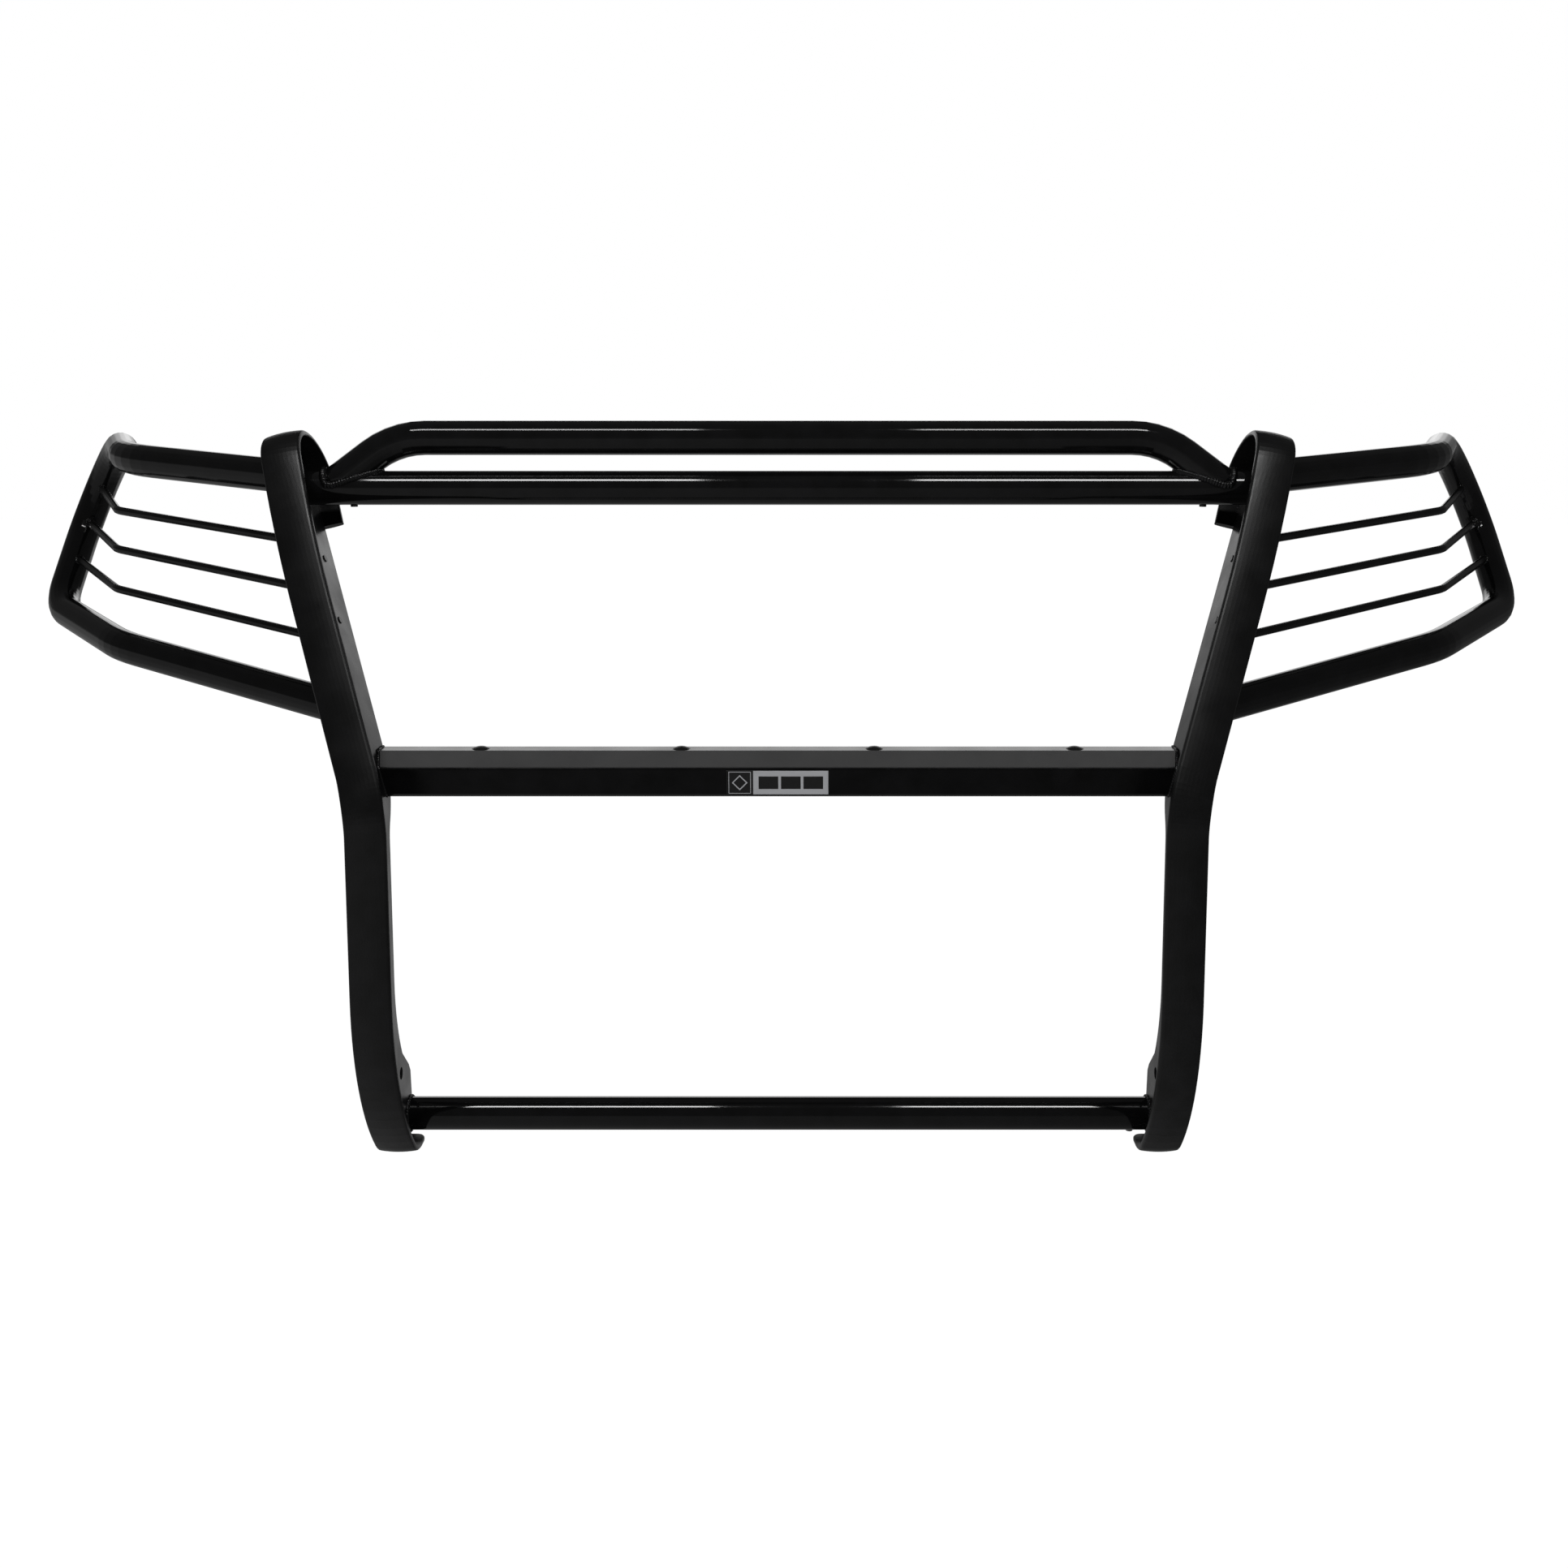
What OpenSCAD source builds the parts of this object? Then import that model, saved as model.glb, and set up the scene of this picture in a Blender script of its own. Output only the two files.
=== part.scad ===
// Front grille guard for a pickup: two plate uprights, three cross members and two wraparound wings.
// Y points from the guard towards the truck, Z is up. The origin is the middle of the line through
// the two bracket bolt holes.

/* [Frame] */
// Distance between the middles of the two lower web plates
upright_spacing = 853; // [700:1:1000]
// Outward tilt of the upper uprights, seen from the front
splay = 20.6; // [10:0.2:26]
// Height of the elbow above the bolt line
elbow_z = 326.6; // [300:1:350]
// Length up the bent web plate to the top of the hook
hook_top = 723.4; // [700:0.2:740]
// Lean of the lower upright towards the truck
lower_lean = 6.3; // [4:0.1:9]
// Lean of the upper upright towards the truck, in the plane of its plate
upper_lean = 28.5; // [26:0.1:31]

/* [Uprights] */
// Width of the face strip
strip_w = 44.45; // [38:0.05:52]
// Thickness of the face strip
strip_t = 8; // [5:0.5:9]
// Thickness of the web plate
plate_t = 5; // [4:0.5:6]
// Depth of the lower web, from the strip's front to the web's rear edge
lower_depth = 88.5; // [84:0.5:92]
// Radius of the hook, outside the strip
hook_r = 52.1; // [46:0.1:56]
// Diameter of the bracket bolt holes
bolt_hole_d = 14; // [10:0.5:16]

/* [Tubes] */
// Outside diameter of every round tube
tube_d = 38.1; // [34:0.1:42]
// Wall of every round tube
tube_wall = 2.4; // [1.6:0.1:3.2]
// Diameter of the round bars in the wings
bar_d = 9.5; // [8:0.5:12]

/* [Middle crossbar] */
// Wall of the folded crossbar
crossbar_wall = 3; // [2:0.5:4]
// Diameter of a plug's head
plug_head_d = 20; // [13:0.5:20.5]
// Width of the badge plate
badge_w = 111; // [80:1:130]
// Height of the badge plate
badge_h = 27; // [20:1:28]

/* [Hidden] */
$fn = 48;

black = [0.03, 0.03, 0.032];
web_grey = [0.10, 0.10, 0.105];

tube_r = tube_d / 2;
half_span = upright_spacing / 2;
far = 400; // longer than anything it cuts
touch = 0.02; // how far two welded pieces share material

// ---- an upright on its unbent plate: points are [y, s], s counted up the plate ----

// unit vector up a leg that leans towards the truck by a degrees, and the one behind its face
function up_leg(a) = [sin(a), cos(a)];
function behind(a) = [cos(a), -sin(a)];
// stations [point, angle] on the curved face of a bend whose centre lies behind the face
function face_arc(c, r, from, to, n) = [for (i = [0 : n]) let (a = from + (to - from) * i / n)
    [c - r * behind(a), a]];
// the points of stations, moved a depth t behind the face
function at_depth(stations, t) = [for (p = stations) p[0] + t * behind(p[1])];

elbow = [-70.6, elbow_z];
elbow_r = 120;
foot_bend_s = 121; // where the long foot bend starts
foot_r = 255;
foot_turn = -42; // lean where the long bend passes into the tongue bend
tongue_r = 50;
tongue_end_y = 27;
tongue_corner_r = 9;
hook_leg_s = 607; // where the strip ends behind the web
twist_s = 540; // where the strip starts to turn level towards the hook
upper_depth = 2 * hook_r - strip_t;

foot_start = elbow - up_leg(lower_lean) * (elbow_z - foot_bend_s) / cos(lower_lean);
foot_centre = foot_start + foot_r * behind(lower_lean);
tongue_centre = foot_centre + (tongue_r - foot_r) * behind(foot_turn);
elbow_tangent = elbow_r * tan((upper_lean - lower_lean) / 2);
elbow_centre = elbow - elbow_tangent * up_leg(lower_lean) + elbow_r * behind(lower_lean);
hook_face = let (s = hook_top - hook_r + hook_r * sin(upper_lean))
    [elbow[0] + (s - elbow_z) * tan(upper_lean), s];
hook_centre = hook_face + hook_r * behind(upper_lean);

// the plate's bend between its lower and upper halves
splay_r = 200;
bend_low = elbow_z - splay_r * tan(splay / 2);
bend_high = bend_low + splay_r * splay * PI / 180;

// where a point of the unbent plate lands, and one w outwards from the plate's middle plane
function splay_at(s) = s < bend_low ? 0 : s > bend_high ? splay : (s - bend_low) / splay_r * 180 / PI;
function outwards(tilt) = [cos(tilt), 0, -sin(tilt)];
function mid_plane(y, s) = let (a = splay_at(s), past = max(0, s - bend_high))
    [half_span + splay_r * (1 - cos(a)) + past * sin(a), y,
        min(s, bend_low) + splay_r * sin(a) + past * cos(a)];
function bent(y, s, w) = mid_plane(y, s) + w * outwards(splay_at(s));
function on_face(lean, s) = [elbow + up_leg(lean) * (s - elbow_z) / cos(lean), lean];

// the strip's face from the tongue up and over the hook
tongue_steps = [0, 0.6, 1.8, 3.6, 6, tongue_corner_r]; // stations, counted from the tongue's end
foot_stations = concat(
    [for (d = tongue_steps) [[tongue_end_y - d, tongue_centre[1] - tongue_r], -90]],
    face_arc(tongue_centre, tongue_r, -90, foot_turn, 14),
    [for (i = [1 : 14]) face_arc(foot_centre, foot_r, foot_turn, lower_lean, 14)[i]]);
leg_stations = concat(
    [for (s = [bend_low, bend_low + 6]) on_face(lower_lean, s)],
    face_arc(elbow_centre, elbow_r, lower_lean, upper_lean, 8),
    [for (s = [bend_high - 6, bend_high]) on_face(upper_lean, s)],
    [for (s = [twist_s : 26 : 670]) on_face(upper_lean, s)]);
hook_stations = face_arc(hook_centre, hook_r, upper_lean, upper_lean + 180, 28);
hook_drop = let (back = hook_centre + hook_r * behind(upper_lean))
    [back - (back[1] - hook_leg_s) / cos(upper_lean) * up_leg(upper_lean), upper_lean + 180];
face_stations = concat(foot_stations, leg_stations, hook_stations, [hook_drop]);

// above twist_s the strip also drifts inwards from the web's middle plane
hook_tilt = 12; // tilt of the strip across the hook
hook_drift = 7.5; // at the front of the hook
drift_left = 4; // at the strip's end behind the web
function turned(s) = pow(max(0, s - twist_s) / (hook_face[1] - twist_s), 2);
function tilt_at(s, lean) = lean > upper_lean ? hook_tilt
    : splay_at(s) - (splay - hook_tilt) * min(1, turned(s));
function drift_at(s, lean) = lean < 90 + upper_lean ? hook_drift * turned(s)
    : drift_left + (hook_drift * turned(hook_top) - drift_left)
        * max(0, s - hook_leg_s) / (hook_top - hook_leg_s);

// crowned section of the strip, [w, depth], outwards along the face and back
strip_out = 2.3; // the strip sits this far outwards of the web's middle plane
crown = 1.4;
edge_r = 3.4;
flat_w = strip_w / 2 - edge_r;
function edge(side, turn) = [side * (flat_w + edge_r * sin(turn)), crown + edge_r * (1 - cos(turn))];
strip_section = concat(
    [for (f = [-1 : 0.25 : 1]) [f * flat_w, crown * f * f]],
    [for (turn = [30 : 30 : 90]) edge(1, turn)],
    [[strip_w / 2, strip_t - 1], [strip_w / 2 - 1, strip_t]],
    [[-strip_w / 2 + 1, strip_t], [-strip_w / 2, strip_t - 1]],
    [for (turn = [90 : -30 : 30]) edge(-1, turn)]);
// part of the full width that is left at a distance from the tongue's rounded end
function tongue_share(d) = let (in = max(0, tongue_corner_r - d))
    1 - (tongue_corner_r - sqrt(tongue_corner_r * tongue_corner_r - in * in)) / (strip_w / 2);

// rear edge of the web: parallel to the face, then out to the bolt ear
ear_back_y = 42;
ear_low_s = -84;
ear_corner_r = 12;
rear_elbow_r = 60;
rear_elbow = let (
    a = elbow + upper_depth * behind(upper_lean), b = elbow + lower_depth * behind(lower_lean),
    u = up_leg(upper_lean), v = up_leg(lower_lean), d = a - b,
    s = (v[0] * d[1] - v[1] * d[0]) / (u[0] * v[1] - u[1] * v[0])) a + s * u;
rear_tangent = rear_elbow_r * tan((upper_lean - lower_lean) / 2);
rear_elbow_centre = rear_elbow - rear_tangent * up_leg(lower_lean)
    + rear_elbow_r * behind(lower_lean);
inner_r = hook_r - strip_t;
web_bottom = at_depth([foot_stations[0]], strip_t)[0];
web_front = concat(at_depth(concat(foot_stations, leg_stations), strip_t),
    [for (a = [upper_lean : 6 : 86]) hook_centre + inner_r * [-cos(a), sin(a)]]);
web_rear = concat(
    [web_bottom + [1, 0]],
    [for (a = [0 : 15 : 90]) [ear_back_y - ear_corner_r + ear_corner_r * sin(a),
        ear_low_s + ear_corner_r - ear_corner_r * cos(a)]],
    [[ear_back_y, -14], [ear_back_y - 6, -4]],
    at_depth(face_arc(foot_centre, foot_r, -26, lower_lean, 8), lower_depth),
    at_depth(face_arc(rear_elbow_centre, rear_elbow_r, lower_lean, upper_lean, 6), 0),
    [for (a = [-upper_lean : 6 : 86]) hook_centre + inner_r * [cos(a), sin(a)]]);

function sorted(v) = len(v) < 2 ? v : let (m = v[floor(len(v) / 2)])
    concat(sorted([for (x = v) if (x < m) x]), [m], sorted([for (x = v) if (x > m) x]));
function spaced(v) = [for (i = [0 : len(v) - 1]) if (i == 0 || v[i] - v[i - 1] > 0.6) v[i]];
function across(line) = [for (p = line) [p[1], p[0]]];
// heights at which the web's front and rear edges are joined
web_rows = spaced(sorted([for (s = concat([for (p = web_front) p[1]], [for (p = web_rear) p[1]],
    [for (i = [0 : 10]) bend_low + (bend_high - bend_low) * i / 10]))
    if (s >= web_bottom[1] && s <= hook_centre[1] + inner_r * sin(86)) s]));

// skin over rings of points, closed at both ends, all in triangles
module skinned(points, sides) {
    count = len(points) / sides;
    last = len(points) - sides;
    polyhedron(points, concat(
        [for (i = [0 : count - 2], k = [0 : sides - 1])
            let (a = i * sides + k, b = i * sides + (k + 1) % sides) each
                [[a, b, b + sides], [a, b + sides, a + sides]]],
        [[for (k = [sides - 1 : -1 : 0]) k], [for (k = [0 : sides - 1]) last + k]]));
}

module upright_face(side) {
    color(black) pair_side(side)
        skinned([for (i = [0 : len(face_stations) - 1], p = strip_section) let (
            face = face_stations[i],
            share = i < len(tongue_steps) ? tongue_share(tongue_steps[i]) : 1,
            q = face[0] + p[1] * behind(face[1]),
            w = strip_out + share * p[0] - drift_at(face[0][1], face[1]))
            mid_plane(q[0], q[1]) + w * outwards(tilt_at(face[0][1], face[1]))],
            len(strip_section));
}

module upright_web(side) {
    front = across(web_front);
    rear = across(web_rear);
    color(web_grey) pair_side(side) difference() {
        skinned([for (s = web_rows, k = [0 : 3]) bent(
            lookup(s, k == 0 || k == 3 ? front : rear), s, k < 2 ? plate_t / 2 : -plate_t / 2)], 4);
        translate([half_span - 20, 0, 0]) rotate([0, 90, 0]) cylinder(d = bolt_hole_d, h = 40);
    }
}

// ---- front outline of an upright: a band that follows its bent middle line, x outwards ----

// band between two offsets from the middle line, both counted outwards
module band(inner, outer) {
    steps = 12;
    turn = [half_span + splay_r, bend_low];
    function arc(offset, i) = turn + (splay_r - offset) * [-cos(splay * i / steps), sin(splay * i / steps)];
    function end(offset) = arc(offset, steps) + 1.4 * far * [sin(splay), cos(splay)];
    polygon(concat(
        [[half_span + outer, -far / 2], [half_span + inner, -far / 2]],
        [for (i = [0 : steps]) arc(inner, i)],
        [end(inner), end(outer)],
        [for (i = [steps : -1 : 0]) arc(outer, i)]));
}
// side and front outlines as solids: [y, z] swept along x, and [x, z] swept along y
module along_x(from, length) {
    translate([from, 0, 0]) rotate([90, 0, 90]) linear_extrude(length) children();
}
module along_y() {
    translate([0, 2 * far, 0]) rotate([90, 0, 0]) linear_extrude(3 * far) children();
}
module pair_side(side) {
    if (side < 0) mirror([1, 0, 0]) children();
    else children();
}
// everything outside the inner face, or inside the outer face, of the right web
module beyond_web() along_y() band(-plate_t / 2 + touch, 190);
module within_web() along_y() band(-half_span, plate_t / 2 - touch);

// ---- tubes and bars bent from round stock ----

function unit(v) = v / norm(v);
function mix(a, b, t) = a + (b - a) * t;

// a straight round length from a to b
module rod(a, b, r) {
    d = b - a;
    translate(a) rotate([0, acos(d[2] / norm(d)), atan2(d[1], d[0])]) cylinder(r = r, h = norm(d));
}
// stations [point, travel] round the bend at b, with centre-line radius r
function bend(a, b, c, r) = let (
    u = unit(b - a), v = unit(c - b), turn = acos(u * v),
    side = unit(v - u * (u * v)), steps = ceil(turn / 7.5),
    centre = b - r * tan(turn / 2) * u + r * side)
    [for (i = [0 : steps]) let (t = turn * i / steps)
        [centre + r * (u * sin(t) - side * cos(t)), u * cos(t) + side * sin(t)]];
// stations along the points p, rounded at each inner point
function route(p, radii) = let (n = len(p) - 1) concat(
    [[p[0], unit(p[1] - p[0])]],
    [for (i = [1 : n - 1]) each bend(p[i - 1], p[i], p[i + 1], radii[i - 1])],
    [[p[n], unit(p[n] - p[n - 1])]]);
// a direction square to each station's travel, carried along the route without twist
function square_to(v, t) = unit(v - t * (v * t));
function normals(s) = [for (i = 0, n = square_to([0, 0.2, 1], s[0][1]); i < len(s);
    i = i + 1, n = i < len(s) ? square_to(n, s[i][1]) : n) n];
function rings(s, r, sides) = let (ns = normals(s)) [for (i = [0 : len(s) - 1], k = [0 : sides - 1])
    s[i][0] + r * (cos(360 * k / sides) * ns[i] + sin(360 * k / sides) * cross(s[i][1], ns[i]))];
// faces of a skin of rings whose first point is number base; flip turns it inside out
function skin(count, sides, base, flip) = [for (i = [0 : count - 2], k = [0 : sides - 1])
    let (a = base + i * sides + k, b = base + i * sides + (k + 1) % sides)
    flip ? [b, a, a + sides, b + sides] : [a, b, b + sides, a + sides]];

module bent_rod(p, radii, r, sides) {
    s = route(p, radii);
    last = (len(s) - 1) * sides;
    polyhedron(rings(s, r, sides), concat(skin(len(s), sides, 0, false),
        [[for (k = [sides - 1 : -1 : 0]) k], [for (k = [0 : sides - 1]) last + k]]));
}
module bent_tube(p, radii) {
    sides = 20;
    s = route(p, radii);
    n = len(s) * sides; // points on one skin
    last = n - sides;
    polyhedron(concat(rings(s, tube_r, sides), rings(s, tube_r - tube_wall, sides)), concat(
        skin(len(s), sides, 0, false), skin(len(s), sides, n, true),
        [for (k = [0 : sides - 1]) let (m = (k + 1) % sides) [m, k, n + k, n + m]],
        [for (k = [0 : sides - 1]) let (m = (k + 1) % sides)
            [last + k, last + m, last + n + m, last + n + k]]));
}
module cut_between_webs() {
    difference() {
        children();
        beyond_web();
        mirror([1, 0, 0]) beyond_web();
    }
}

// ---- cross members ----

top_axis = [161, 639.7];
bow_axis = [166, 694.7];
bottom_axis = [32, -62.8];
bow_knee_x = 430;
bow_drop = 36.1; // fall of the bow's ends, in the plane of the bow
to_bow = unit(bow_axis - top_axis); // from the cross tube to the bow, [y, z]
across_bow = [to_bow[1], -to_bow[0]];

module straight_tube(axis) {
    cut_between_webs() difference() {
        rod([-600, axis[0], axis[1]], [600, axis[0], axis[1]], tube_r);
        rod([-610, axis[0], axis[1]], [610, axis[0], axis[1]], tube_r - tube_wall);
    }
}
module top_cross_tube() color(black) straight_tube(top_axis);
module bottom_cross_tube() color(black) straight_tube(bottom_axis);

module top_bow_tube() {
    knee = [bow_knee_x, bow_axis[0], bow_axis[1]];
    tip = knee + 170 * [cos(bow_drop), -to_bow[0] * sin(bow_drop), -to_bow[1] * sin(bow_drop)];
    color(black) cut_between_webs() difference() {
        bent_tube([[-tip[0], tip[1], tip[2]], [-knee[0], knee[1], knee[2]], knee, tip], [100, 100]);
        rod([-600, top_axis[0], top_axis[1]], [600, top_axis[0], top_axis[1]], tube_r - touch);
        along_x(-600, 1200) polygon([for (c = [[1, 0], [1, -3], [-1, -3], [-1, 0]])
            top_axis + 2 * tube_r * (c[0] * across_bow + c[1] * to_bow)]);
    }
}

// section of the middle crossbar, [y, z], clockwise from the rear top corner
land_front = [35, 363.8];
fold_r = 5; // outside radius of the fold between the bevel and the front
fold_centre = [19, 345.95];
crossbar_section = concat([[56, land_front[1]], land_front],
    [for (a = [54 : -13.5 : 0]) fold_centre + fold_r * [-cos(a), sin(a)]],
    [[14, 320], [18, 316.4], [33, 316.4]]);
crossbar_bore = [[54.2, 360.8], [36.3, 360.8], [17.5, 347.2], [17, 321.2], [19, 319.4], [31.5, 319.4]];
plug_x = [-326.5, -106, 106, 326.5];
plug_y = (56 + land_front[0]) / 2;
land_z = land_front[1];
plug_stem_d = 11;

module middle_crossbar() {
    color(black) cut_between_webs() difference() {
        along_x(-500, 1000) polygon(crossbar_section);
        along_x(-510, 1020) polygon(crossbar_bore);
        for (x = plug_x) translate([x, plug_y, land_z - 10]) cylinder(d = plug_stem_d, h = 20);
    }
}
module crossbar_plugs() {
    head_rise = 2.8;
    dome_r = (pow(plug_head_d / 2, 2) + head_rise * head_rise) / (2 * head_rise);
    color(black) for (x = plug_x) translate([x, plug_y, land_z]) {
        intersection() {
            cylinder(d = plug_head_d, h = head_rise);
            translate([0, 0, head_rise - dome_r]) sphere(r = dome_r);
        }
        translate([0, 0, -8]) cylinder(d = plug_stem_d - 0.2, h = 8 + touch);
    }
}
module badge_plate() {
    face_y = 14;
    badge_t = 2;
    color("silver") translate([-badge_w / 2, face_y - badge_t, 333 - badge_h / 2])
        cube([badge_w, badge_t, badge_h]);
}

// ---- wings ----

// the right wing tube's corners, from the web, round the outer leg and back to the web
wing_root_top = [547, 157, 652];
wing_fold_top = [785.4, 293, 666];
wing_corner_top = [922, 607, 686];
wing_corner_low = [927, 389, 475];
wing_fold_low = [779, 213.5, 451.5];
wing_root_low = [456.5, 57.6, 400.1];
wing_bends = [144, 86, 76, 132];
wing_path = [
    mix(wing_root_top, wing_fold_top, -0.12), wing_fold_top, wing_corner_top,
    wing_corner_low, wing_fold_low, mix(wing_root_low, wing_fold_low, -0.1)
];
// where each bar sits between the top and the bottom tube, and where it ends in the outer leg
bar_share = [0.285, 0.493, 0.706];
bar_tip = [[901, 491.3, 620.5], [920.5, 484, 577.3], [926, 449.1, 533.4]];
leg_run = [[0.50, 0.10, -0.86], [0.26, -0.41, -0.875], [0.02, -0.72, -0.69]]; // leg's course there
bar_fold_top = [799, 301, 667];
bar_fold_low = [787, 217.5, 453];
bar_bend = 30;

module wing_tube(side) {
    color(black) pair_side(side) difference() {
        bent_tube(wing_path, wing_bends);
        within_web();
    }
}
module wing_bar(side, row) {
    root = mix(wing_root_top, wing_root_low, bar_share[row]);
    fold = mix(bar_fold_top, bar_fold_low, bar_share[row]);
    color(black) pair_side(side) difference() {
        bent_rod([mix(root, fold, -0.12), fold, bar_tip[row]], [bar_bend], bar_d / 2, 12);
        within_web();
        rod(bar_tip[row] - 30 * leg_run[row], bar_tip[row] + 30 * leg_run[row], tube_r - touch);
    }
}

// ---- small plugs ----

module tube_drain_plugs() {
    nub_r = 4;
    color(black) {
        for (x = [-480, 480]) translate([x, top_axis[0], top_axis[1] - tube_r - 2])
            cylinder(r = nub_r, h = 4);
        translate([404, bottom_axis[0], bottom_axis[1] - tube_r - 2]) cylinder(r = nub_r, h = 4);
    }
}
module web_hole_plugs() {
    bend_top = [half_span + splay_r * (1 - cos(splay)), bend_low + splay_r * sin(splay)];
    normal = outwards(splay);
    color(black) for (side = [-1, 1]) pair_side(side) for (p = [[144, 561], [102, 497]]) {
        middle = [bend_top[0] + (p[1] - bend_top[1]) * tan(splay), p[0], p[1]];
        rod(middle - plate_t / 2 * normal, middle - (plate_t / 2 + 1.2) * normal, 4);
    }
}

upright_face(-1);  // upright_face_left
upright_face(1);  // upright_face_right
upright_web(-1);  // upright_web_left
upright_web(1);  // upright_web_right
top_bow_tube();
top_cross_tube();
middle_crossbar();
bottom_cross_tube();
wing_tube(-1);  // wing_tube_left
wing_tube(1);  // wing_tube_right
wing_bar(-1, 0);  // wing_bar_left_top
wing_bar(-1, 1);  // wing_bar_left_middle
wing_bar(-1, 2);  // wing_bar_left_bottom
wing_bar(1, 0);  // wing_bar_right_top
wing_bar(1, 1);  // wing_bar_right_middle
wing_bar(1, 2);  // wing_bar_right_bottom
crossbar_plugs();
badge_plate();
tube_drain_plugs();
web_hole_plugs();
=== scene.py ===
import math

import bpy
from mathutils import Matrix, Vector


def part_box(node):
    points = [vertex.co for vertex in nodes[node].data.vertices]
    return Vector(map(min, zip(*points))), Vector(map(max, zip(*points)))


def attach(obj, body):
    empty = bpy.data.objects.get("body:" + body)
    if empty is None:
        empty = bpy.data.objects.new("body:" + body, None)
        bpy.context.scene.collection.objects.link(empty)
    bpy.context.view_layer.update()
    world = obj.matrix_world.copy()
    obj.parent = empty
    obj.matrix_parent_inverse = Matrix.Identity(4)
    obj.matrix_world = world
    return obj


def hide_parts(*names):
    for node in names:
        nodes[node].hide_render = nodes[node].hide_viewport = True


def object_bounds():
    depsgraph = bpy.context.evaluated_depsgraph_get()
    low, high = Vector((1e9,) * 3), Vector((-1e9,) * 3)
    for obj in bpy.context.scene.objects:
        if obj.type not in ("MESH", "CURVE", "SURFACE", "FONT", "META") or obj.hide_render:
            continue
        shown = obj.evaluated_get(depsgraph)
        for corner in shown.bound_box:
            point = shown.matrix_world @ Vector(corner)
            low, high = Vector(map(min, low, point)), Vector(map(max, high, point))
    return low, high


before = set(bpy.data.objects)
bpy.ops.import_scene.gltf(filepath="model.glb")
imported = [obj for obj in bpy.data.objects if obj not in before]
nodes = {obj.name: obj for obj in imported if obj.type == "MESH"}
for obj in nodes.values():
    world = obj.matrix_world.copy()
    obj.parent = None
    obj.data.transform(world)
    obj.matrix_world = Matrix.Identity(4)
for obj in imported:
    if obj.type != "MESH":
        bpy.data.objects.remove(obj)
cad_box = [list(corner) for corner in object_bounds()]
MM = 0.001

# ---- the guard's driving sizes, in millimetres and degrees, as in the CAD ----

HALF_SPAN = 426.5
PLATE = 5.0
SPLAY = math.radians(20.6)
SPLAY_R = 200.0
ELBOW_Z = 326.6
BEND_LOW = ELBOW_Z - SPLAY_R * math.tan(SPLAY / 2)
TUBE_R = 19.05
BAR_R = 4.75
TOP_AXIS = (161.0, 639.7)
BOTTOM_AXIS = (32.0, -62.8)
BOW_KNEE = Vector((430, 166, 694.7))
BOW_DROP = math.radians(36.1)
ROOT_TOP, ROOT_LOW = Vector((547, 157, 652)), Vector((456.5, 57.6, 400.1))
FOLD_TOP, FOLD_LOW = Vector((785.4, 293, 666)), Vector((779, 213.5, 451.5))
BAR_FOLD_TOP, BAR_FOLD_LOW = Vector((799, 301, 667)), Vector((787, 217.5, 453))
BAR_SHARE = (0.285, 0.493, 0.706)
BAR_TIP = (Vector((901, 491.3, 620.5)), Vector((920.5, 484, 577.3)), Vector((926, 449.1, 533.4)))
LEG_RUN = (Vector((0.50, 0.10, -0.86)), Vector((0.26, -0.41, -0.875)), Vector((0.02, -0.72, -0.69)))
CROSSBAR = ((56, 363.8), (35, 363.8), (15, 349), (14, 346), (14, 320), (18, 316.4), (33, 316.4))


# ---- materials ----

def new_material(name):
    material = bpy.data.materials.new(name)
    material.use_nodes = True
    return material, material.node_tree, material.node_tree.nodes["Principled BSDF"]


def noise(tree, scale, detail=2.0):
    texture = tree.nodes.new("ShaderNodeTexNoise")
    coords = tree.nodes.new("ShaderNodeTexCoord")
    tree.links.new(coords.outputs["Object"], texture.inputs["Vector"])
    texture.inputs["Scale"].default_value = scale
    texture.inputs["Detail"].default_value = detail
    return texture.outputs["Fac"]


def spread(tree, source, low, high, start=0.0, end=1.0):
    scale = tree.nodes.new("ShaderNodeMapRange")
    tree.links.new(source, scale.inputs["Value"])
    scale.inputs["From Min"].default_value = start
    scale.inputs["From Max"].default_value = end
    scale.inputs["To Min"].default_value = low
    scale.inputs["To Max"].default_value = high
    return scale.outputs["Result"]


def blend_colours(tree, source, low, high):
    mixer = tree.nodes.new("ShaderNodeMix")
    mixer.data_type = "RGBA"
    tree.links.new(source, mixer.inputs[0])
    mixer.inputs[6].default_value = (*low, 1)
    mixer.inputs[7].default_value = (*high, 1)
    return mixer.outputs[2]


def roughen(tree, shader, heights, distance, strength, rounding=0.0):
    """bump from the sum of noise heights; rounding blends the shading across flat facets"""
    total = heights[0]
    for height in heights[1:]:
        add = tree.nodes.new("ShaderNodeMath")
        tree.links.new(total, add.inputs[0])
        tree.links.new(height, add.inputs[1])
        total = add.outputs[0]
    bump = tree.nodes.new("ShaderNodeBump")
    bump.inputs["Strength"].default_value = strength
    bump.inputs["Distance"].default_value = distance
    tree.links.new(total, bump.inputs["Height"])
    if rounding:
        round_off = tree.nodes.new("ShaderNodeBevel")
        round_off.samples = 16
        round_off.inputs["Radius"].default_value = rounding
        tree.links.new(round_off.outputs["Normal"], bump.inputs["Normal"])
    tree.links.new(bump.outputs["Normal"], shader.inputs["Normal"])


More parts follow.
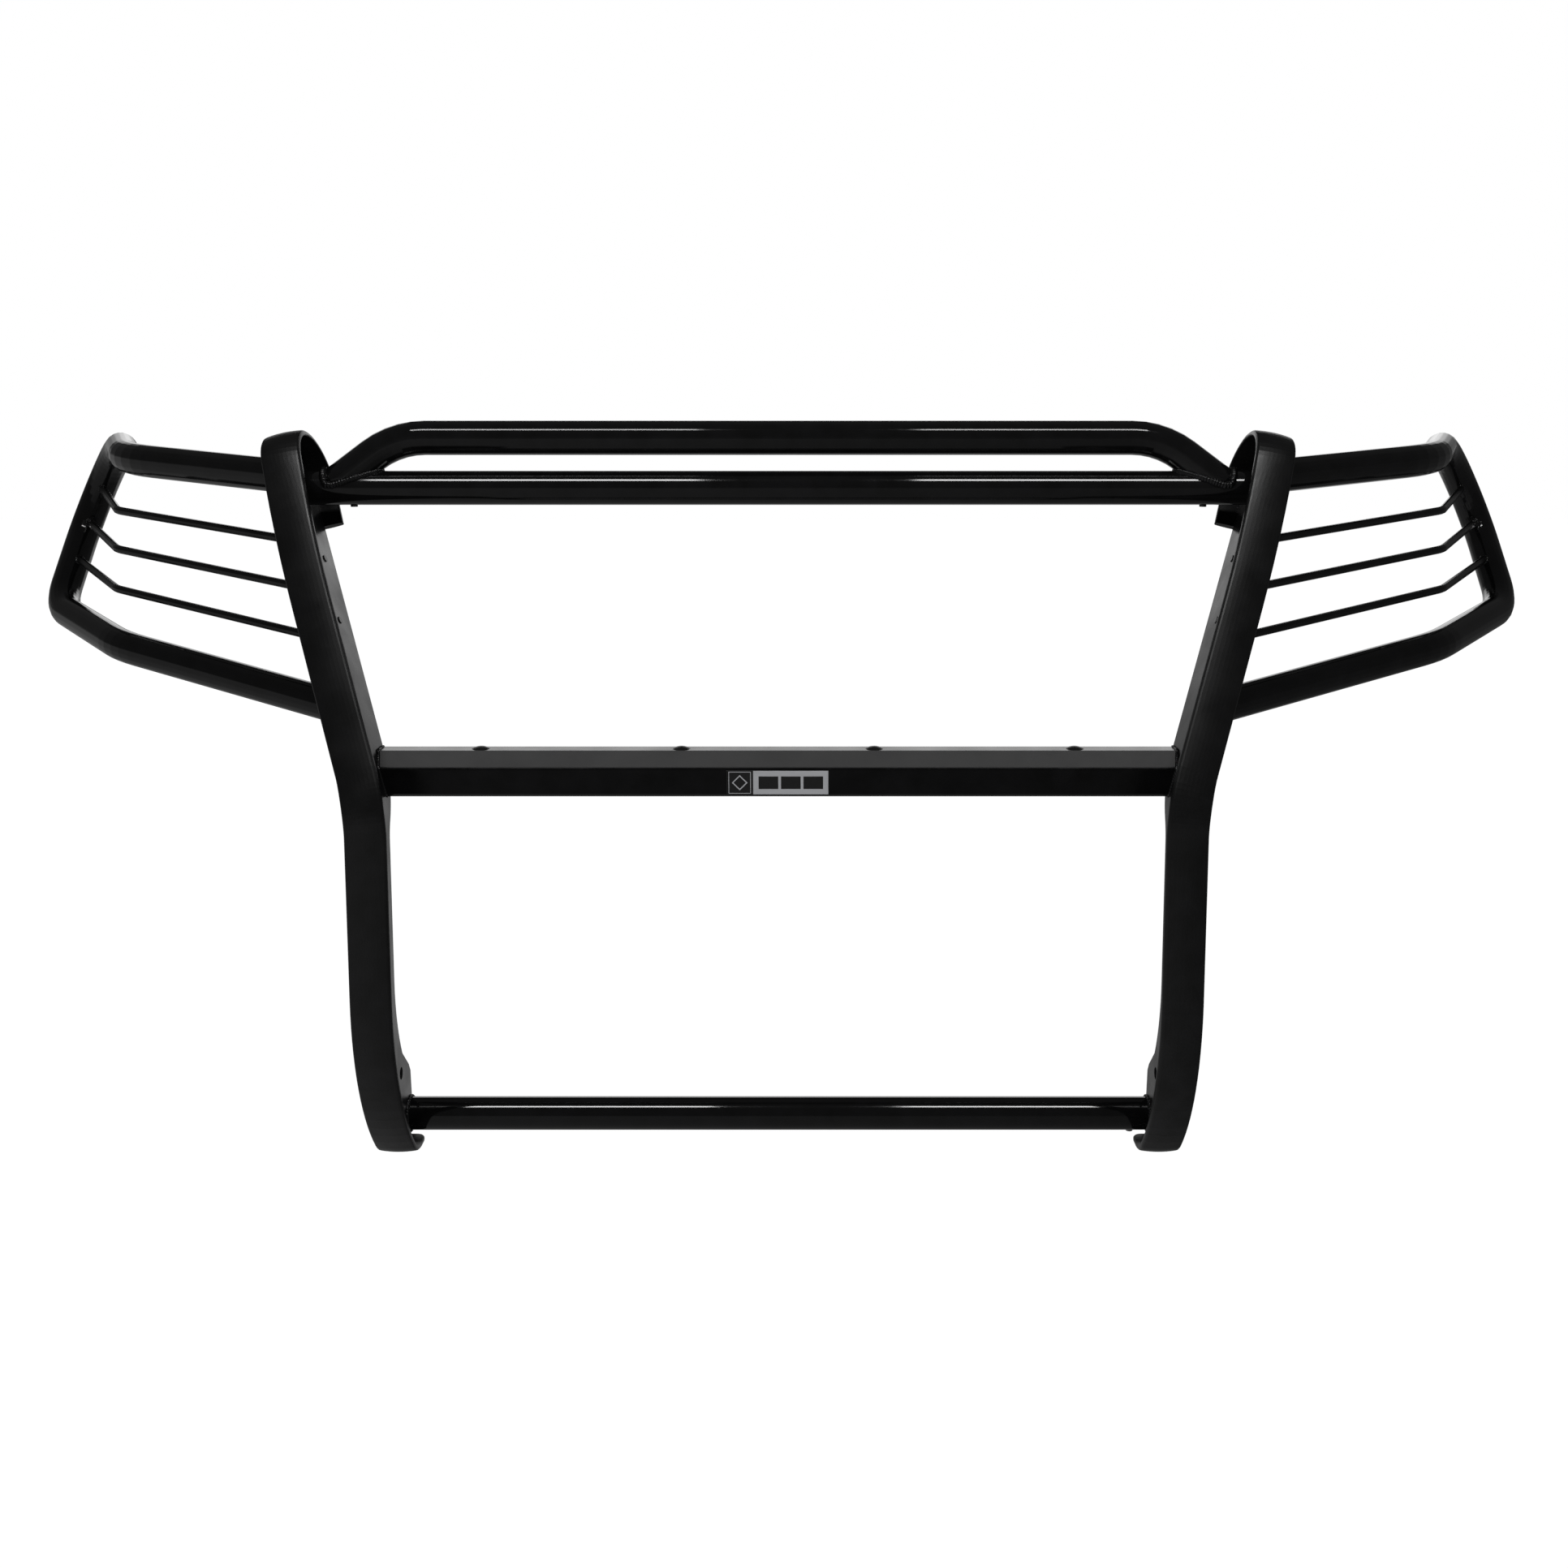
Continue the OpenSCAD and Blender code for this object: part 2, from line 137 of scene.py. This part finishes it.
def powder_coat(name, tone, rough, peel, level=0.5, rounding=0.0):
    """black powder coat: faint mottling, uneven gloss and fine orange peel"""
    material, tree, shader = new_material(name)
    mottle = spread(tree, noise(tree, 45, 4), 0, 1, 0.3, 0.7)
    tree.links.new(
        blend_colours(tree, mottle, [tone * 0.7] * 3, [tone * 1.3, tone * 1.3, tone * 1.4]),
        shader.inputs["Base Color"])
    shader.inputs["IOR"].default_value = 1.5
    shader.inputs["Specular IOR Level"].default_value = level
    tree.links.new(spread(tree, noise(tree, 22, 3), rough * 0.8, rough * 1.2, 0.3, 0.7),
                   shader.inputs["Roughness"])
    roughen(tree, shader, [noise(tree, 700), noise(tree, 260)], 0.0003, peel, rounding)
    return material


def plastic(name, tone):
    material, tree, shader = new_material(name)
    mottle = noise(tree, 300)
    tree.links.new(blend_colours(tree, mottle, [tone * 0.8] * 3, [tone * 1.2] * 3),
                   shader.inputs["Base Color"])
    tree.links.new(spread(tree, noise(tree, 150), 0.25, 0.4), shader.inputs["Roughness"])
    roughen(tree, shader, [noise(tree, 1500)], 0.0001, 0.1)
    return material


def brushed_silver():
    """silver plate with fine lengthwise brushing"""
    material, tree, shader = new_material("badge_silver")
    coords = tree.nodes.new("ShaderNodeTexCoord")
    stretch = tree.nodes.new("ShaderNodeMapping")
    stretch.inputs["Scale"].default_value = (20, 900, 2500)
    tree.links.new(coords.outputs["Object"], stretch.inputs["Vector"])
    grain = tree.nodes.new("ShaderNodeTexNoise")
    grain.inputs["Scale"].default_value = 1.0
    tree.links.new(stretch.outputs["Vector"], grain.inputs["Vector"])
    tree.links.new(blend_colours(tree, grain.outputs["Fac"], (0.30, 0.30, 0.31), (0.42, 0.43, 0.45)),
                   shader.inputs["Base Color"])
    shader.inputs["Metallic"].default_value = 0.2
    tree.links.new(spread(tree, grain.outputs["Fac"], 0.3, 0.5), shader.inputs["Roughness"])
    roughen(tree, shader, [grain.outputs["Fac"]], 0.0001, 0.15)
    return material


TUBE_COAT = powder_coat("gloss_black_tube_coat", 0.003, 0.06, 0.015, rounding=0.004)
STRIP_COAT = powder_coat("satin_black_strip_coat", 0.004, 0.36, 0.08)
WEB_COAT = powder_coat("satin_black_web_coat", 0.005, 0.30, 0.08)
BAR_COAT = powder_coat("satin_black_bar_coat", 0.004, 0.22, 0.05)
CROSSBAR_COAT = powder_coat("satin_black_crossbar_coat", 0.003, 0.22, 0.05, 0.2)
WELD_COAT = powder_coat("gloss_black_weld_coat", 0.005, 0.2, 0.25)
PLUG_BLACK = plastic("black_plug_plastic", 0.012)
BADGE_DARK = plastic("badge_dark_field", 0.008)
SILVER = brushed_silver()


def material_for(name):
    if name.startswith("upright_face"):
        return STRIP_COAT
    if name.startswith("upright_web"):
        return WEB_COAT
    if name.startswith("wing_bar"):
        return BAR_COAT
    if name.endswith("plugs"):
        return PLUG_BLACK
    return {"middle_crossbar": CROSSBAR_COAT, "badge_plate": SILVER}.get(name, TUBE_COAT)


for name, node in nodes.items():
    node.data.materials.clear()
    node.data.materials.append(material_for(name))


# ---- mesh code ----

def piece(name, points, faces, material, slot, smooth=True):
    """a new part of the guard from points in millimetres"""
    mesh = bpy.data.meshes.new(name)
    mesh.from_pydata([Vector(p) * MM for p in points], [], faces)
    mesh.materials.append(material)
    mesh.polygons.foreach_set("use_smooth", [smooth] * len(mesh.polygons))
    mesh.update()
    made = bpy.data.objects.new(name, mesh)
    bpy.context.scene.collection.objects.link(made)
    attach(made, "root")
    return made


def even_steps(path, gap):
    """points about gap apart round a closed path"""
    lengths = [(path[i] - path[i - 1]).length for i in range(len(path))]
    count = max(12, round(sum(lengths) / gap))
    step = sum(lengths) / count
    out, i, done = [], 0, 0.0
    for k in range(count):
        while done + lengths[(i + 1) % len(path)] < k * step and i < len(path) - 1:
            i += 1
            done += lengths[i]
        a, b = path[i], path[(i + 1) % len(path)]
        share = (k * step - done) / max((b - a).length, 1e-6)
        out.append(a.lerp(b, min(share, 1.0)))
    return out


BEAD_SIDES = 8
RIPPLE = 3.2  # length of one weld ripple


def bead(path, radius):
    """points and faces of a rippled weld bead round a closed path"""
    steps = even_steps(path, RIPPLE / 4)
    count = len(steps)
    points, faces = [], []
    for i, p in enumerate(steps):
        along = (steps[(i + 1) % count] - steps[i - 1]).normalized()
        side = along.cross(Vector((0.31, 0.27, 0.91))).normalized()
        up = along.cross(side)
        swell = radius * (1 + 0.13 * math.cos(i * math.pi / 2) + 0.06 * math.sin(i * 0.37))
        for k in range(BEAD_SIDES):
            turn = 2 * math.pi * k / BEAD_SIDES
            points.append(p + swell * (math.cos(turn) * side + math.sin(turn) * up))
    for i in range(count):
        here, ahead = i * BEAD_SIDES, (i + 1) % count * BEAD_SIDES
        for k in range(BEAD_SIDES):
            beside = (k + 1) % BEAD_SIDES
            faces.append((here + k, here + beside, ahead + beside, ahead + k))
    return points, faces


def weld_beads(name, paths):
    """one piece that holds the beads of several joints; paths are (points, radius)"""
    points, faces = [], []
    for path, radius in paths:
        bead_points, bead_faces = bead(path, radius)
        base = len(points)
        points += bead_points
        faces += [tuple(base + i for i in face) for face in bead_faces]
    return piece(name, points, faces, WELD_COAT, "black_steel")


def ring_offsets(direction, radius, count=48):
    side = direction.cross(Vector((0, 0, 1))).normalized()
    up = side.cross(direction)
    return [radius * (math.cos(t) * side + math.sin(t) * up)
            for t in (2 * math.pi * k / count for k in range(count))]


def on_plane(axis_point, direction, radius, plane_point, normal):
    """where a round tube meets a plane"""
    direction = direction.normalized()
    return [p + direction * ((plane_point - p).dot(normal) / direction.dot(normal))
            for p in (axis_point + o for o in ring_offsets(direction, radius))]


def on_tube(start, direction, radius, leg_point, leg_direction, leg_radius):
    """where a round bar that comes from start first meets a round tube"""
    direction, leg = direction.normalized(), leg_direction.normalized()
    across = direction - leg * direction.dot(leg)
    out = []
    for offset in ring_offsets(direction, radius, 24):
        gap = start + offset - leg_point
        gap -= leg * gap.dot(leg)
        a, b, c = across.dot(across), 2 * across.dot(gap), gap.dot(gap) - leg_radius ** 2
        out.append(start + offset + direction * ((-b - math.sqrt(max(b * b - 4 * a * c, 0))) / (2 * a)))
    return out


def mirrored(path, side):
    return [Vector((side * p.x, p.y, p.z)) for p in path]


# planes of the right web's faces above the bend, and its inner face through the bend
WEB_NORMAL = Vector((math.cos(SPLAY), 0, -math.sin(SPLAY)))
WEB_POINT = Vector((HALF_SPAN + SPLAY_R * (1 - math.cos(SPLAY)), 0,
                    BEND_LOW + SPLAY_R * math.sin(SPLAY)))
INNER = WEB_POINT - WEB_NORMAL * PLATE / 2
OUTER = WEB_POINT + WEB_NORMAL * PLATE / 2


def inner_x(z):
    lean = math.asin(min(max((z - BEND_LOW) / SPLAY_R, 0), math.sin(SPLAY)))
    return HALF_SPAN + SPLAY_R * (1 - math.cos(lean)) - PLATE / 2


# ---- weld beads ----

# radii of the beads at each kind of joint
CROSS_TUBE_BEAD, BOTTOM_TUBE_BEAD, BOW_BEAD, CROSSBAR_BEAD = 2.4, 2.6, 4.0, 1.8
WING_BEAD, BAR_BEAD = 2.6, 1.5

X = Vector((1, 0, 0))
top_axis_point = Vector((0, *TOP_AXIS))
to_bow = (Vector((0, *BOW_KNEE.yz)) - top_axis_point).normalized()
bow_leg = X * math.cos(BOW_DROP) - to_bow * math.sin(BOW_DROP)
cross_tube_joint = on_plane(top_axis_point, X, TUBE_R, INNER, WEB_NORMAL)
bottom_tube_joint = on_plane(Vector((0, *BOTTOM_AXIS)), X, TUBE_R,
                             Vector((HALF_SPAN - PLATE / 2, 0, 0)), X)
bow_joint = on_tube(BOW_KNEE, bow_leg, TUBE_R, top_axis_point, X, TUBE_R)
crossbar_joint = [Vector((inner_x(z), y, z)) for y, z in CROSSBAR]
wing_joints = [(on_plane(root, fold - root, TUBE_R, OUTER, WEB_NORMAL), WING_BEAD)
               for root, fold in ((ROOT_TOP, FOLD_TOP), (ROOT_LOW, FOLD_LOW))]
bar_joints = []
for share, tip, run in zip(BAR_SHARE, BAR_TIP, LEG_RUN):
    root, fold = ROOT_TOP.lerp(ROOT_LOW, share), BAR_FOLD_TOP.lerp(BAR_FOLD_LOW, share)
    bar_joints.append((on_plane(root, fold - root, BAR_R, OUTER, WEB_NORMAL), BAR_BEAD))
    bar_joints.append((on_tube(fold, tip - fold, BAR_R, tip, run, TUBE_R), BAR_BEAD))

cross_member_joints = [(cross_tube_joint, CROSS_TUBE_BEAD), (bottom_tube_joint, BOTTOM_TUBE_BEAD),
                       (bow_joint, BOW_BEAD), (crossbar_joint, CROSSBAR_BEAD)]

for side, word in ((-1, "left"), (1, "right")):
    weld_beads(f"weld_beads_cross_members_{word}", [
        (mirrored(path, side), radius) for path, radius in cross_member_joints])
    weld_beads(f"weld_beads_wing_{word}", [
        (mirrored(path, side), radius) for path, radius in wing_joints + bar_joints])

# ---- badge: a dark tile with a plain diamond frame, and a silver plate with plain dark inlays ----

def slab(x0, x1, z0, z1, back, front, edge):
    """points and faces of a plate that faces -y, with its front edges bevelled"""
    rings = ((0, back), (0, front + edge), (edge, front))
    points = [Vector((x, y, z)) for inset, y in rings for x, z in (
        (x0 + inset, z0 + inset), (x1 - inset, z0 + inset),
        (x1 - inset, z1 - inset), (x0 + inset, z1 - inset))]
    faces = [(3, 2, 1, 0), (8, 9, 10, 11)]
    for ring in (0, 4):
        faces += [(ring + k, ring + (k + 1) % 4, ring + 4 + (k + 1) % 4, ring + 4 + k)
                  for k in range(4)]
    return points, faces


def frame_of(outer, inner, back, front):
    """points and faces of a flat frame between two outlines with the same number of corners"""
    count = len(outer)
    points = [Vector((x, y, z)) for outline, y in (
        (outer, back), (outer, front), (inner, front), (inner, back)) for x, z in outline]
    faces = [(r * count + k, r * count + (k + 1) % count,
              (r + 1) % 4 * count + (k + 1) % count, (r + 1) % 4 * count + k)
             for r in range(4) for k in range(count)]
    return points, faces


def joined(parts):
    points, faces = [], []
    for part_points, part_faces in parts:
        base = len(points)
        points += part_points
        faces += [tuple(base + i for i in face) for face in part_faces]
    return points, faces


badge_low, badge_high = (Vector(corner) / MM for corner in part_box("badge_plate"))
BACK, SEAT = badge_high.y, badge_low.y + 0.8
TILE_W = 29.0
MARGIN = 1.0
split = badge_low.x + TILE_W
tile = joined([
    slab(badge_low.x, badge_high.x, badge_low.z, badge_high.z, BACK, SEAT, 0.3),
    slab(badge_low.x + MARGIN, split - MARGIN, badge_low.z + MARGIN, badge_high.z - MARGIN,
         SEAT, badge_low.y + 0.4, 0.3)])
badge_tile = piece("badge_dark_tile", *tile, BADGE_DARK, "badge", smooth=False)
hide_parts("badge_plate")
badge_silver = piece(
    "badge_silver_plate",
    *slab(split, badge_high.x - 0.3, badge_low.z + 0.4, badge_high.z - 0.4,
          SEAT, badge_low.y + 0.3, 0.5),
    SILVER, "badge", smooth=False)

middle_x, middle_z = (badge_low.x + split) / 2, (badge_low.z + badge_high.z) / 2


def outline(kind, reach):
    if kind == "diamond":
        return [(middle_x - reach, middle_z), (middle_x, middle_z - reach),
                (middle_x + reach, middle_z), (middle_x, middle_z + reach)]
    return [(middle_x - reach, middle_z - reach), (middle_x + reach, middle_z - reach),
            (middle_x + reach, middle_z + reach), (middle_x - reach, middle_z + reach)]


TILE_REACH = (badge_high.z - badge_low.z) / 2 - MARGIN - 0.4
trim = joined([frame_of(outline(kind, reach), outline(kind, reach - width), SEAT, badge_low.y + 0.2)
               for kind, reach, width in (("square", TILE_REACH, 0.6), ("diamond", 8.5, 1.6))])
badge_trim = piece("badge_tile_trim", *trim, SILVER, "badge", smooth=False)

INLAY_COUNT, INLAY_GAP, INLAY_HEIGHT = 3, 3.0, 14.0
inlay_left, inlay_right = split + 6, badge_high.x - 6
inlay_w = (inlay_right - inlay_left - INLAY_GAP * (INLAY_COUNT - 1)) / INLAY_COUNT
inlays = joined([slab(left, left + inlay_w, middle_z - INLAY_HEIGHT / 2, middle_z + INLAY_HEIGHT / 2,
                      SEAT, badge_low.y + 0.05, 0.2)
                 for left in (inlay_left + i * (inlay_w + INLAY_GAP) for i in range(INLAY_COUNT))])
piece("badge_inlays", *inlays, BADGE_DARK, "badge", smooth=False)

# ---- stage, lights and camera ----

FLOOR_HALF = 9
floor_z = cad_box[0][2]
floor_mesh = bpy.data.meshes.new("studio_floor")
floor_mesh.from_pydata([(x, y, floor_z) for x, y in (
    (-FLOOR_HALF, -FLOOR_HALF), (FLOOR_HALF, -FLOOR_HALF),
    (FLOOR_HALF, FLOOR_HALF), (-FLOOR_HALF, FLOOR_HALF))], [], [(0, 1, 2, 3)])
floor = bpy.data.objects.new("studio_floor", floor_mesh)
bpy.context.scene.collection.objects.link(floor)
white, tree, shader = new_material("studio_white")
shader.inputs["Base Color"].default_value = (0.1, 0.1, 0.1, 1)
shader.inputs["Roughness"].default_value = 1
shader.inputs["Emission Color"].default_value = (1, 1, 1, 1)
shader.inputs["Emission Strength"].default_value = 1.0
floor_mesh.materials.append(white)
floor.visible_glossy = False

# the world is white to the camera; everything else sees a bright wall behind the guard and a dim
# studio in front of it, lighter on the left and on the floor
world = bpy.data.worlds.new("studio")
bpy.context.scene.world = world
world.use_nodes = True
sky = world.node_tree
BACK_UP, BACK_LOW_LEFT, BACK_LOW_RIGHT = 1.4, 0.2, 0.65
FRONT_LOW_LEFT, FRONT_LOW_RIGHT, FRONT_UP = 0.22, 0.07, 0.06


def math_node(kind, a, b):
    node = sky.nodes.new("ShaderNodeMath")
    node.operation = kind
    for socket, value in zip(node.inputs, (a, b)):
        if isinstance(value, (int, float)):
            socket.default_value = value
        else:
            sky.links.new(value, socket)
    return node.outputs[0]


def choose(share, low, high):
    """low where share is 0, high where it is 1"""
    return math_node("ADD", math_node("MULTIPLY", share, high),
                     math_node("MULTIPLY", math_node("SUBTRACT", 1.0, share), low))


direction = sky.nodes.new("ShaderNodeSeparateXYZ")
sky.links.new(sky.nodes.new("ShaderNodeTexCoord").outputs["Generated"], direction.inputs[0])
east, north, height = direction.outputs
near_middle = spread(sky, math_node("ABSOLUTE", east, 0), 1, 0, 0.3, 0.5)
behind = math_node("MULTIPLY", near_middle, spread(sky, north, 0, 1, 0.6, 0.85))
above = spread(sky, height, 0, 1, 0.0, 0.12)
below_ceiling = spread(sky, height, 1, 0, 0.3, 0.42)
back = choose(above, spread(sky, east, BACK_LOW_LEFT, BACK_LOW_RIGHT, -0.4, 0.4),
              math_node("MULTIPLY", below_ceiling, BACK_UP))
front = choose(above, spread(sky, east, FRONT_LOW_LEFT, FRONT_LOW_RIGHT, -0.4, 0.4), FRONT_UP)
background = sky.nodes["Background"]
rays = sky.nodes.new("ShaderNodeLightPath")
sky.links.new(choose(rays.outputs["Is Camera Ray"], choose(behind, front, back), 1.0),
              background.inputs["Strength"])
background.inputs["Color"].default_value = (1, 1, 1, 1)


def softbox(name, place, aim, width, height, power):
    light = bpy.data.lights.new(name, "AREA")
    light.shape = "RECTANGLE"
    light.size, light.size_y, light.energy = width, height, power
    lamp = bpy.data.objects.new(name, light)
    lamp.location = place
    lamp.rotation_euler = (Vector(aim) - Vector(place)).to_track_quat("-Z", "Y").to_euler()
    bpy.context.scene.collection.objects.link(lamp)
    return lamp


# two lamps with a gap between them, so the lines of light along the tubes fade in the middle
LAMP_X = {"left": -0.62, "right": 0.70}
LAMP_W, LAMP_Y, LAMP_Z = 0.8, -1.0, 2.5
AIM_Y, AIM_Z = 0.15, 0.55


def lamp_pair(name, height, power):
    return [softbox(f"{name}_{word}", (x, LAMP_Y, LAMP_Z), (x, AIM_Y, AIM_Z), LAMP_W, height, power)
            for word, x in LAMP_X.items()]


lamp_pair("key", 0.16, 9)

# lights for one thing each: the folded crossbar from above, the badge from the front, and a
# taller strip where each key is, for the line of light along the round cross members
crossbar_fill = softbox("crossbar_fill", (0, 0.05, 2.6), (0, 0.05, 0), 2.4, 1.0, 18)
badge_fill = softbox("badge_fill", (0.03, -1.2, 1.1), (0.03, 0, 0.33), 0.6, 0.6, 5)
tube_lines = lamp_pair("tube_line", 0.45, 13)
round_tubes = [nodes[name] for name in ("top_bow_tube", "top_cross_tube", "bottom_cross_tube")]
for lamp, lit_pieces in ((crossbar_fill, [nodes["middle_crossbar"]]),
                         *((tube_line, round_tubes) for tube_line in tube_lines),
                         (badge_fill, [badge_silver, badge_trim])):
    receivers = bpy.data.collections.new(f"lit_by_{lamp.name}")
    for lit_piece in lit_pieces:
        receivers.objects.link(lit_piece)
    lamp.light_linking.receiver_collection = receivers

camera_data = bpy.data.cameras.new("camera")
camera_data.sensor_width = 36
camera_data.lens = 38.2
camera_data.shift_x = -0.0123
camera = bpy.data.objects.new("camera", camera_data)
camera.location = (0.028, -1.743, 0.753)
camera.rotation_euler = (math.radians(76.5), 0, 0)
bpy.context.scene.collection.objects.link(camera)
bpy.context.scene.camera = camera
bpy.context.scene.view_settings.view_transform = "Standard"
